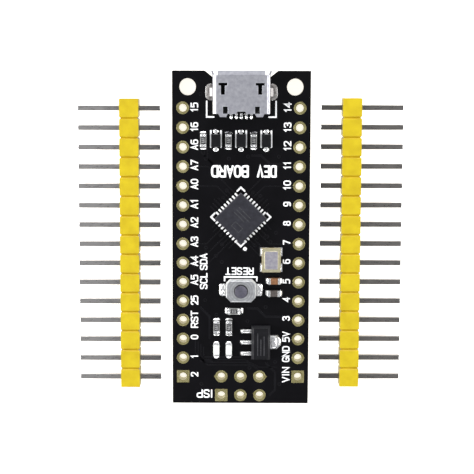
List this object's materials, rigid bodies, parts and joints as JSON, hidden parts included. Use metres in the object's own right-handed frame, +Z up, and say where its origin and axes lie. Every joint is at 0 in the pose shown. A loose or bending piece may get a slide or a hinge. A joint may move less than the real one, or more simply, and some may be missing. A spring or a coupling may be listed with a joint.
{
  "type": "microcontroller dev board",
  "caption": "Small black microcontroller board with a micro USB socket, a reset key, plated pin holes down both sides, and two loose yellow pin headers beside it.",
  "frame": {"origin": "middle of the board's underside, on the surface that the board and the loose headers lie on", "axes": "+X across the board, +Y along the board towards the USB socket, +Z up out of the component side"},
  "size_m": [0.043, 0.044, 0.0045],
  "materials": {
    "board_black": "black solder mask, satin",
    "gold_plating": "thin gold over nickel, satin",
    "connector_steel": "tinned sheet steel, satin",
    "connector_plastic": "moulded, matte",
    "contact_gold": "gold plated, bright",
    "solder": "reflowed solder, bright",
    "epoxy_black": "moulded epoxy, fine matte",
    "lead_tin": "tin plated, satin",
    "silicon": "sawn silicon, satin",
    "crystal_ceramic": "fired alumina, matte",
    "ring_gold": "gold plated, satin",
    "lid_steel": "nickel plated, satin",
    "quartz": "polished quartz",
    "key_plastic": "moulded nylon, matte",
    "key_steel": "stamped steel, satin",
    "key_rubber": "moulded, satin",
    "resistor_ceramic": "alumina, matte",
    "resistor_glass": "glass overcoat, satin",
    "capacitor_tan": "fired ceramic, satin",
    "capacitor_grey": "fired ceramic, satin",
    "led_white": "clear lens over white laminate",
    "header_yellow": "moulded nylon, satin",
    "pin_brass": "tin plated brass, satin"
  },
  "bodies": {
    "board": {"capacitor_1": "capacitor_tan", "capacitor_2": "capacitor_grey", "capacitor_end_caps": "lead_tin", "capacitor_solder": "solder", "crystal_base": "crystal_ceramic", "crystal_blank": "quartz", "crystal_lid": "lid_steel", "crystal_ring": "ring_gold", "crystal_solder": "solder", "diode_1": "epoxy_black", "diode_2": "epoxy_black", "diode_3": "epoxy_black", "diode_leads": "lead_tin", "diode_solder": "solder", "key_base": "key_plastic", "key_cover": "key_steel", "key_dome": "key_steel", "key_solder": "solder", "key_terminals": "lead_tin", "led_1_base": "led_white", "led_1_lens": "led_white", "led_2_base": "led_white", "led_2_lens": "led_white", "led_solder": "solder", "led_terminals": "gold_plating", "mcu_die": "silicon", "mcu_die_pad": "lead_tin", "mcu_leads": "lead_tin", "mcu_package": "epoxy_black", "mcu_solder": "solder", "pads_isp": "gold_plating", "pads_left": "gold_plating", "pads_right": "gold_plating", "pcb": "board_black", "regulator_body": "epoxy_black", "regulator_leads": "lead_tin", "regulator_solder": "solder", "resistor_1": "resistor_ceramic", "resistor_2": "resistor_ceramic", "resistor_3": "resistor_ceramic", "resistor_4": "resistor_ceramic", "resistor_5": "resistor_ceramic", "resistor_6": "resistor_ceramic", "resistor_coats": "resistor_glass", "resistor_end_caps": "lead_tin", "resistor_solder": "solder", "usb_contacts": "contact_gold", "usb_insulator": "connector_plastic", "usb_shell": "connector_steel", "usb_slot_plating": "gold_plating", "usb_solder": "solder"},
    "reset_plunger": {"reset_plunger": "key_rubber"},
    "header_left": {"header_left_strip": "header_yellow", "header_left_pins": "pin_brass"},
    "header_right": {"header_right_strip": "header_yellow", "header_right_pins": "pin_brass"}
  },
  "joints": [
    {"name": "reset_press", "type": "slide", "parent": "board", "child": "reset_plunger", "axis": [0, 0, -1], "range_m": [0, 0.00025], "stiffness_N_per_m": 2000, "springref_m": -0.00005},
    {"name": "header_left_slide", "type": "slide", "parent": "board", "child": "header_left", "axis": [-1, 0, 0], "range_m": [0, 0.02]},
    {"name": "header_right_slide", "type": "slide", "parent": "board", "child": "header_right", "axis": [1, 0, 0], "range_m": [0, 0.02]}
  ]
}
